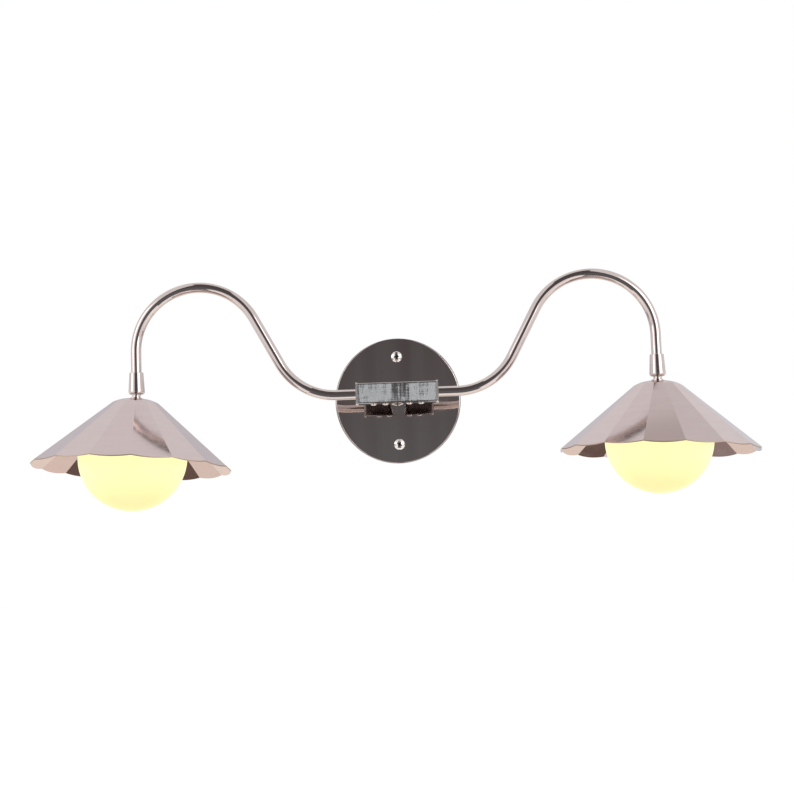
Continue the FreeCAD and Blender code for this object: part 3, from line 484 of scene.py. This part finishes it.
bar_nickel = make_bar_nickel()
zinc_steel = make_zinc("zinc_steel")
zinc_thread = make_zinc("zinc_thread", threaded=True)
opal_glass = make_opal()
ceramic = make_fired("ceramic", (0.82, 0.79, 0.71, 1.0), (0.74, 0.70, 0.61, 1.0), (0.12, 0.28), 0.5)
silicone = make_fired("silicone", (0.66, 0.66, 0.63, 1.0), (0.58, 0.58, 0.55, 1.0), (0.45, 0.65), 0.0)
friction_polymer = make_fired("friction_polymer", (0.76, 0.75, 0.68, 1.0), (0.70, 0.69, 0.62, 1.0),
                              (0.35, 0.55), 0.0)
contact_bronze = make_strip_metal("contact_bronze", (0.62, 0.42, 0.20, 1.0),
                                  (0.36, 0.22, 0.10, 1.0), (0.2, 0.45))
spring_steel = make_strip_metal("spring_steel", (0.30, 0.31, 0.36, 1.0),
                                (0.16, 0.15, 0.18, 1.0), (0.25, 0.45))
pin_wire = make_strip_metal("pin_wire", (0.64, 0.63, 0.60, 1.0), (0.42, 0.40, 0.37, 1.0), (0.2, 0.4))
lamp_glass = make_lamp_glass()

FINISHES = {
    "backplate": plate_nickel, "stem": tube_nickel, "body_bar": bar_nickel,
    "end_cap": cap_nickel, "arm": tube_nickel, "swivel_cup": swivel_nickel,
    "swivel_cap": swivel_nickel, "swivel_ball": swivel_nickel, "shade_nut": swivel_nickel,
    "canopy_screws": screw_nickel, "arm_set_screws": screw_nickel,
    "crossbar": zinc_steel, "ground_screw": zinc_steel, "wall_nipple": zinc_thread,
    "bar_nipple": zinc_thread, "lock_washer": zinc_steel, "nipple_nut": zinc_steel,
    "globe_carrier": zinc_steel, "lock_nut": zinc_steel, "disc_springs": spring_steel,
    "friction_pad": friction_polymer, "globe_gasket": silicone, "lampholder": ceramic,
    "socket_contacts": contact_bronze, "globe": opal_glass, "lamp_capsule": lamp_glass,
    "lamp_pins": pin_wire,
    **{f"shade_{side}": make_shade_nickel(side) for side in SIDES},
}


def dress(piece, material):
    """Gives every material slot of a piece one finish."""
    if not piece.data.materials:
        piece.data.materials.append(material)
    for index in range(len(piece.data.materials)):
        piece.data.materials[index] = material


for label, item in nodes.items():
    either_side = label.removesuffix("_left").removesuffix("_right")
    dress(item, FINISHES.get(label) or FINISHES[either_side])


# Screws with their drives cut and their threads raised

def as_piece(name, mesh, materials, body, replaced):
    """Adds a mesh as a piece that rides on a body and takes the place of a CAD node."""
    piece = bpy.data.objects.new(name, mesh)
    bpy.context.scene.collection.objects.link(piece)
    for finish_of in materials:
        piece.data.materials.append(finish_of)
    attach(piece, body)
    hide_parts(replaced)
    return piece


def rings(mesh, profile, turns=48):
    """Turned surface round local Z through (radius, height) points; a zero radius closes it."""
    previous = None
    for radius, height in profile:
        if radius < 1e-9:
            ring = [mesh.verts.new((0.0, 0.0, height))]
        else:
            ring = [mesh.verts.new((radius * math.cos(2 * math.pi * i / turns),
                                    radius * math.sin(2 * math.pi * i / turns), height))
                    for i in range(turns)]
        if previous is not None:
            for i in range(turns):
                j = (i + 1) % turns
                loop = [previous[i % len(previous)], previous[j % len(previous)],
                        ring[j % len(ring)], ring[i % len(ring)]]
                mesh.faces.new(list(dict.fromkeys(loop)))
        previous = ring


def thread(mesh, radius, depth, pitch, top, bottom, turns=24):
    """Helical ridge on a shank, closed at its lower end by a small taper."""
    steps = max(2, round((top - bottom) / pitch * 6))
    previous = None
    for step in range(steps + 1):
        height = top + (bottom - top) * step / steps
        fade = min(1.0, (height - bottom) / pitch, (top - height) / pitch)
        ring = []
        for i in range(turns):
            phase = (height / pitch + i / turns) % 1.0
            groove = depth * (1.0 - abs(2.0 * phase - 1.0)) * fade
            angle = 2 * math.pi * i / turns
            ring.append(mesh.verts.new(((radius - groove) * math.cos(angle),
                                        (radius - groove) * math.sin(angle), height)))
        if previous is not None:
            for i in range(turns):
                j = (i + 1) % turns
                mesh.faces.new((previous[i], previous[j], ring[j], ring[i]))
        previous = ring
    tip = mesh.verts.new((0.0, 0.0, bottom))
    for i in range(turns):
        mesh.faces.new((previous[i], previous[(i + 1) % turns], tip))


def cross_cutter(width, reach, depth):
    """Tapered cross for a driver, pointing down local Z; full size from z = -depth / 4 upwards."""
    mesh = bmesh.new()
    outline = [(-reach, -width), (reach, -width), (reach, width), (-reach, width)]
    levels = ((depth, 1.0, 1.0), (-depth * 0.25, 1.0, 1.0), (-depth, 0.30, 0.60))
    for turn in (0.0, math.pi / 2):
        loops = [[mesh.verts.new((x * along, y * over, height)) for x, y in outline]
                 for height, along, over in levels]
        mesh.faces.new(loops[0])
        mesh.faces.new(loops[-1][::-1])
        for upper, lower in zip(loops, loops[1:]):
            for i in range(4):
                j = (i + 1) % 4
                mesh.faces.new((upper[j], upper[i], lower[i], lower[j]))
        fresh = [corner for loop in loops for corner in loop]
        bmesh.ops.rotate(mesh, verts=fresh, cent=(0, 0, 0), matrix=Matrix.Rotation(turn, 3, "Z"))
    made = bpy.data.meshes.new("cross_cutter")
    mesh.to_mesh(made)
    mesh.free()
    return made


def dome_radius(head, head_height):
    """Radius of the sphere that domes a screw head, and the height of the rim below the dome."""
    rim = head_height * 0.35
    rise = head_height - rim
    return ((head / 2) ** 2 + rise ** 2) / (2 * rise), rim


def screw_head(head, head_height, drive):
    """Domed head on z = 0 with the drive cut out of it."""
    mesh = bmesh.new()
    dome, rim = dome_radius(head, head_height)
    sweep = math.asin(head / 2 / dome)
    profile = [(0.0, 0.0), (head / 2 - HEAD_EDGE, 0.0), (head / 2, HEAD_EDGE), (head / 2, rim * 0.7)]
    for step in range(DOME_STEPS + 1):
        angle = sweep * (1 - step / DOME_STEPS) * 0.985
        profile.append((dome * math.sin(angle), head_height - dome + dome * math.cos(angle)))
    rings(mesh, profile, 64)
    bmesh.ops.recalc_face_normals(mesh, faces=mesh.faces)
    blank = bpy.data.meshes.new("screw_head")
    mesh.to_mesh(blank)
    mesh.free()
    head_item = bpy.data.objects.new("screw_head", blank)
    cutter = bpy.data.objects.new("screw_drive", cross_cutter(*drive))
    cutter.data.transform(Matrix.Translation((0, 0, head_height)))
    for item in (head_item, cutter):
        bpy.context.scene.collection.objects.link(item)
    cut = head_item.modifiers.new("drive", "BOOLEAN")
    cut.object = cutter
    cut.solver = "EXACT"
    cut.use_self = True
    done = bpy.data.meshes.new_from_object(
        head_item.evaluated_get(bpy.context.evaluated_depsgraph_get()))
    bpy.data.objects.remove(head_item)
    bpy.data.objects.remove(cutter)
    return done


def domed_screw(head, head_height, shank, length, pitch, drive):
    """Mesh of a screw whose head stands on z = 0; drive is (arm width, arm reach, depth).

    The walls of the drive take the second material slot, which holds painted shade.
    """
    whole = bmesh.new()
    whole.from_mesh(screw_head(head, head_height, drive))
    dome = dome_radius(head, head_height)[0]
    middle = Vector((0, 0, head_height - dome))
    for face in whole.faces:
        place = face.calc_center_median()
        in_drive = place.xy.length < drive[1] * 1.05 and (place - middle).length < dome * 0.996
        if in_drive and place.z > 1e-5:
            face.material_index = 1
    shank_mesh = bmesh.new()
    thread(shank_mesh, shank / 2, pitch * 0.45, pitch, 0.0, -length)
    bmesh.ops.recalc_face_normals(shank_mesh, faces=shank_mesh.faces)
    part = bpy.data.meshes.new("screw_shank")
    shank_mesh.to_mesh(part)
    shank_mesh.free()
    whole.from_mesh(part)
    for face in whole.faces:
        face.smooth = True
    for edge in whole.edges:
        if len(edge.link_faces) == 2 and edge.calc_face_angle(0.0) > CREASE:
            edge.smooth = False
    made = bpy.data.meshes.new("screw")
    whole.to_mesh(made)
    whole.free()
    return made


def place_canopy_screws():
    """Two screws through the backplate, above and below the stem, each stopped at its own turn."""
    low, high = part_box("canopy_screws")
    head = high.x - low.x
    spacing = high.z - low.z - head
    out = Matrix.Rotation(math.radians(90), 4, "X")
    for name, sign, turn in (("upper", 1, 12), ("lower", -1, -31)):
        mesh = domed_screw(head, PLATE_FACE - low.y, CANOPY_SHANK, high.y - PLATE_FACE, CANOPY_PITCH,
                           CANOPY_DRIVE)
        spin = Matrix.Rotation(math.radians(turn), 4, "Z")
        mesh.transform(Matrix.Translation((0, PLATE_FACE, sign * spacing / 2)) @ out @ spin)
        as_piece(f"canopy_screw_{name}", mesh, SCREW_FINISHES, "fixture", "canopy_screws")


def place_arm_set_screws():
    """Four screws in a row under the bar, two for each arm."""
    low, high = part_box("arm_set_screws")
    head = high.y - low.y
    reach = (high.x - low.x - head) / 2
    down = Matrix.Rotation(math.radians(180), 4, "X")
    for index, share in enumerate((-1.0, -0.5, 0.5, 1.0)):
        mesh = domed_screw(head, BAR_LOW.z - low.z, SET_SHANK, high.z - BAR_LOW.z, SET_PITCH,
                           SET_DRIVE)
        spin = Matrix.Rotation(math.radians(17 + 40 * index), 4, "Z")
        mesh.transform(Matrix.Translation((share * reach, BAR_MIDDLE.y, BAR_LOW.z)) @ down @ spin)
        as_piece(f"arm_set_screw_{index + 1}", mesh, SCREW_FINISHES, "fixture", "arm_set_screws")


place_canopy_screws()
place_arm_set_screws()


# Studio

def emitter(name, colour):
    """Material that only glows."""
    material = bpy.data.materials.new(name)
    material.use_nodes = True
    tree = material.node_tree
    tree.nodes.clear()
    glow = add(tree, "Emission")
    feed(tree, glow.inputs["Color"], colour)
    feed(tree, add(tree, "OutputMaterial").inputs["Surface"], glow.outputs[0])
    return material, tree, glow


def card(name, across, deep, high, material, on_camera=False):
    """Flat piece of the stage over the ranges across (X), deep (Y) and high (Z).

    The corners run first along its near or lower edge. Only reflections see it, unless it is
    on camera.
    """
    mesh = bpy.data.meshes.new(name)
    mesh.from_pydata([(across[0], deep[0], high[0]), (across[1], deep[0], high[0]),
                      (across[1], deep[1], high[1]), (across[0], deep[1], high[1])],
                     [], [(0, 1, 2, 3)])
    item = bpy.data.objects.new(name, mesh)
    bpy.context.scene.collection.objects.link(item)
    item.data.materials.append(material)
    item.visible_camera = on_camera
    item.visible_diffuse = on_camera
    item.visible_shadow = on_camera


def level_card(name, across, deep, height, material, on_camera=False):
    card(name, across, deep, (height, height), material, on_camera)


def upright_card(name, across, deep, high, material):
    card(name, across, (deep, deep), high, material)


def seen_or_mirrored(tree):
    """One for what the camera sees, straight, in a mirror or through glass, and zero for light."""
    path = add(tree, "LightPath")
    return calculate(tree, "MAXIMUM", path.outputs["Is Camera Ray"], calculate(
        tree, "MAXIMUM", path.outputs["Is Glossy Ray"], path.outputs["Is Transmission Ray"]))


def make_world():
    """White backdrop at full strength, and a weaker light on the pieces."""
    world = bpy.data.worlds.new("studio")
    bpy.context.scene.world = world
    world.use_nodes = True
    tree = world.node_tree
    tree.nodes.clear()
    seen = seen_or_mirrored(tree)
    backdrop = add(tree, "Background")
    feed(tree, backdrop.inputs["Color"], (1.0, 1.0, 1.0, 1.0))
    feed(tree, backdrop.inputs["Strength"], 1.0)
    fill = add(tree, "Background")
    feed(tree, fill.inputs["Color"], (1.0, 0.99, 0.98, 1.0))
    feed(tree, fill.inputs["Strength"], 0.72)
    both = add(tree, "MixShader")
    feed(tree, both.inputs[0], seen)
    feed(tree, both.inputs[1], fill.outputs[0])
    feed(tree, both.inputs[2], backdrop.outputs[0])
    feed(tree, add(tree, "OutputWorld").inputs["Surface"], both.outputs[0])


def make_floor():
    """Pale floor, lifted to white where it is seen, that keeps the fixture's shadow."""
    material, tree, shader = finish("studio_floor", Roughness=0.8, Metallic=0.0,
                                    Emission_Color=(1.0, 1.0, 1.0, 1.0))
    speckle = use(tree, SURFACE_GRAIN, Grain_size=0.002, Mottle_size=0.3)
    feed(tree, shader.inputs["Base Color"], blend_colours(
        tree, speckle["Mottle"], (0.90, 0.90, 0.89, 1.0), (0.92, 0.92, 0.91, 1.0)))
    lift = calculate(tree, "MULTIPLY", seen_or_mirrored(tree), 0.45)
    feed(tree, shader.inputs["Emission Strength"], lift)
    span = (-FLOOR_HALF, FLOOR_HALF)
    level_card("studio_floor", span, span, STUDIO_FLOOR, material, on_camera=True)


def make_dark_cards():
    """Folded dark cloth in front of the fixture, which the plate and the tubes mirror."""
    cloth, tree, glow = emitter("dark_card", (0.15, 0.14, 0.14, 1.0))
    place = on_part(tree)
    rise = remap(tree, split(tree, place)["Z"], -0.15, 0.42)
    folds = remap(tree, noise(tree, scaled(tree, place, (16.0, 1.0, 0.5)), 1.0), 0.3, 0.7)
    darker = calculate(tree, "MULTIPLY_ADD", folds, 0.35, calculate(tree, "MULTIPLY", rise, 0.65))
    feed(tree, glow.inputs["Color"], blend_colours(
        tree, darker, (0.175, 0.185, 0.19, 1.0), (0.105, 0.092, 0.095, 1.0)))
    upright_card("dark_card", DARK_ACROSS, FRONT_CARDS, (FLOOR_CARDS, CEILING_CARDS), cloth)
    level_card("dark_card_floor", DARK_ACROSS, (FRONT_CARDS, -0.95), FLOOR_CARDS, cloth)
    level_card("dark_card_ceiling", DARK_ACROSS, (FRONT_CARDS, -0.75), CEILING_CARDS, cloth)


def make_pale_cards():
    """Wall, warm floor and ceiling that the outsides and insides of the shades mirror."""
    wall = emitter("wall_card", (0.74, 0.745, 0.78, 1.0))[0]
    upright_card("wall_card", (-3.0, 3.0), BACK_CARDS, (FLOOR_CARDS, WALL_TOP), wall)
    warm = emitter("warm_card", (1.12, 1.0, 0.87, 1.0))[0]
    level_card("warm_card", (-2.4, 2.4), (0.15, 2.5), FLOOR_CARDS, warm)
    ceiling = emitter("ceiling_card", (0.90, 0.90, 0.89, 1.0))[0]
    level_card("ceiling_card", (0.30, 2.40), (0.10, 1.60), CEILING_CARDS, ceiling)
    low_ceiling = emitter("low_ceiling_card", (0.68, 0.66, 0.63, 1.0))[0]
    level_card("low_ceiling_card", (0.40, 0.70), (0.20, 0.555), LOW_CEILING_CARD, low_ceiling)


def make_brown_cards():
    """Low cards that darken the inner panels beside the globes and the underside of the bar."""
    brown = emitter("brown_card", (0.20, 0.145, 0.115, 1.0))[0]
    for name, across, back, half in (("left_near", -0.13, 0.09, 0.08), ("left_far", -0.56, 0.02, 0.09),
                                     ("right_far", 0.60, 0.22, 0.08)):
        level_card(f"brown_card_{name}", (across - half, across + half), (back - half, back + half),
                   LOW_CARDS, brown)
    level_card("brown_card_middle", (-0.04, 0.04), (-0.32, -0.01), LOW_CARDS, brown)
    mauve = emitter("mauve_card", (0.42, 0.35, 0.32, 1.0))[0]
    level_card("mauve_card", (-0.05, 0.13), (0.17, 0.36), LOW_CARDS, mauve)


def make_lights():
    """Soft key light from the right and a weaker one from the left."""
    aim = Vector((0.0, -0.1, 0.0))
    for name, place, size, watts, colour in (
            ("key_light", (1.6, -1.7, 0.6), (1.3, 1.6), 15.0, (1.0, 0.985, 0.975)),
            ("side_light", (-1.9, -1.2, 0.7), (1.2, 1.5), 8.0, (1.0, 0.97, 0.96))):
        data = bpy.data.lights.new(name, "AREA")
        data.shape = "RECTANGLE"
        data.size, data.size_y = size
        data.energy = watts
        data.color = colour
        item = bpy.data.objects.new(name, data)
        item.location = place
        item.rotation_euler = (aim - Vector(place)).to_track_quat("-Z", "Y").to_euler()
        bpy.context.scene.collection.objects.link(item)


def make_camera():
    """Stands in front of the fixture, a little below its bar, looking slightly up."""
    data = bpy.data.cameras.new("camera")
    data.sensor_width = CAMERA_SENSOR
    data.sensor_fit = "HORIZONTAL"
    data.lens = CAMERA_LENS
    data.clip_start = 0.01
    data.clip_end = 50.0
    item = bpy.data.objects.new("camera", data)
    bpy.context.scene.collection.objects.link(item)
    yaw = Matrix.Rotation(math.radians(CAMERA_YAW), 4, "Z")
    pitch = Matrix.Rotation(math.radians(CAMERA_PITCH), 4, "X")
    roll = Matrix.Rotation(math.radians(CAMERA_ROLL), 4, "Y")
    level = Matrix.Rotation(math.radians(90), 4, "X")
    item.matrix_world = Matrix.Translation(CAMERA_PLACE) @ yaw @ pitch @ roll @ level
    bpy.context.scene.camera = item


make_world()
make_floor()
make_dark_cards()
make_pale_cards()
make_brown_cards()
make_lights()
make_camera()
bpy.context.scene.view_settings.view_transform = "Standard"
